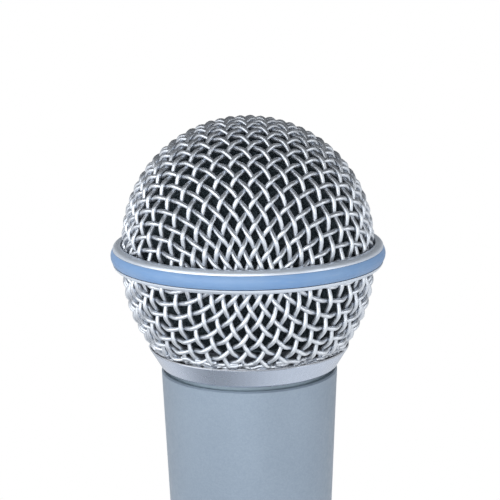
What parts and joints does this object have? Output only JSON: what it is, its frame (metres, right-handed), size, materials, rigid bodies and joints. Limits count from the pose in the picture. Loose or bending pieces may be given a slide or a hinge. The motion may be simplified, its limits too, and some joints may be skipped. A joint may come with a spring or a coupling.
{
  "type": "dynamic microphone",
  "caption": "Handheld dynamic microphone with a woven wire ball, a coloured ring round its middle, a tapered handle and a plug socket in its end.",
  "frame": {"origin": "centre of the handle's flat connector end", "axes": "+Z along the handle up to the ball, -Y towards the camera, +X to the right"},
  "size_m": [0.051, 0.051, 0.16],
  "materials": {
    "wire": "bright nickel-plated steel wire",
    "band": "satin nickel",
    "ring": "smooth light blue",
    "collar": "satin grey-blue metallic",
    "handle": "satin grey-blue metallic paint",
    "foam": "open-cell foam",
    "case": "moulded",
    "cloth": "fine weave",
    "steel": "turned and zinc plated",
    "magnet": "dark iron",
    "board": "fibre board",
    "contact": "plated",
    "copper": "enamelled winding",
    "film": "thin film",
    "rubber": "soft moulded rubber",
    "insert": "moulded",
    "lead": "insulated lead"
  },
  "bodies": {
    "handle": {"handle_body": "handle", "shock_mount": "rubber", "connector_insert": "insert", "contact_pins": "contact", "set_screw": "steel", "transformer_core": "magnet", "transformer_winding": "copper", "potting": "insert", "coil_leads": "lead", "connector_leads": "lead"},
    "cartridge": {"cartridge_case": "case", "front_cap": "case", "acoustic_cloth": "cloth", "yoke_cup": "steel", "magnet": "magnet", "pole_plate": "steel", "terminal_board": "board", "solder_tags": "contact"},
    "voice_motor": {"voice_coil": "copper", "diaphragm": "film"},
    "ball_base": {"neck_foam": "foam"},
    "ball_lining": {"dome_foam": "foam"},
    "ball": {"upper_mesh": "wire", "lower_mesh": "wire", "centre_band": "band", "colour_ring": "ring", "grille_collar": "collar"}
  },
  "joints": [
    {"name": "ball_pull_off", "type": "slide", "parent": "handle", "child": "ball_base", "axis": [0, 0, 1], "range_m": [0, 0.04]},
    {"name": "ball_rise", "type": "slide", "parent": "ball_base", "child": "ball_lining", "axis": [0, 0, 1], "range_m": [0, 0.0024]},
    {"name": "ball_unscrew", "type": "hinge", "parent": "ball_lining", "child": "ball", "pos_m": [0, 0, 0.1152], "axis": [0, 0, 1], "range_deg": [0, 1080]},
    {"name": "cartridge_float", "type": "slide", "parent": "handle", "child": "cartridge", "axis": [0, 0, 1], "range_m": [-0.0008, 0.0008], "stiffness_N_per_m": 6000, "deforming": ["shock_mount"]},
    {"name": "diaphragm_travel", "type": "slide", "parent": "cartridge", "child": "voice_motor", "axis": [0, 0, 1], "range_m": [-0.0003, 0.0003], "stiffness_N_per_m": 80}
  ],
  "couplings": [
    {"joint": "ball_rise", "follows": "ball_unscrew", "m_per_rad": 0.00012732}
  ]
}
